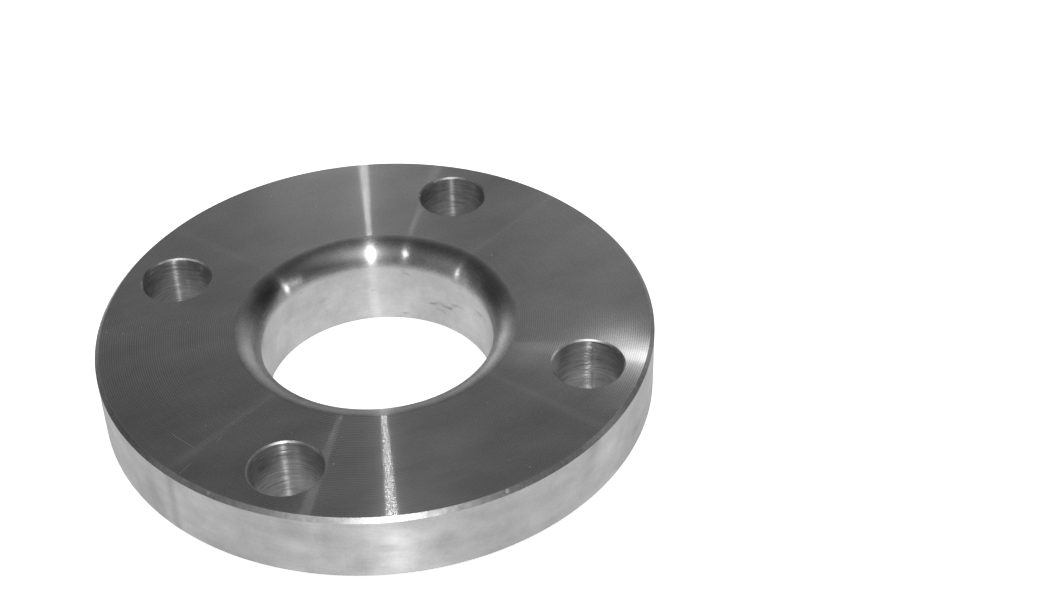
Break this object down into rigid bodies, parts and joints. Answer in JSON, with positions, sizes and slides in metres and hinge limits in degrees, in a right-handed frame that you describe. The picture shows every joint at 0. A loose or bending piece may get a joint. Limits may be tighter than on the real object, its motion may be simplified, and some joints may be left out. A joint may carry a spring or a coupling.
{
  "type": "lap joint flange",
  "caption": "Loose bolting ring with a smooth bore, a rounded lap edge and a short back hub, which slides over a pipe's flared stub end and clamps it.",
  "frame": {"origin": "centre of the hub's end face, on the bore axis, where the flange lies on a flat surface", "axes": "+Z along the bore axis, out of the lap face; the bolt holes stand at 45 degrees to +X and +Y, straddling both"},
  "size_m": [0.1516, 0.1516, 0.0255],
  "materials": {
    "turned_steel": "turned stainless steel, fine rings on the faces, satin on the rim and bore"
  },
  "bodies": {
    "root": {"flange": "turned_steel"}
  },
  "joints": []
}
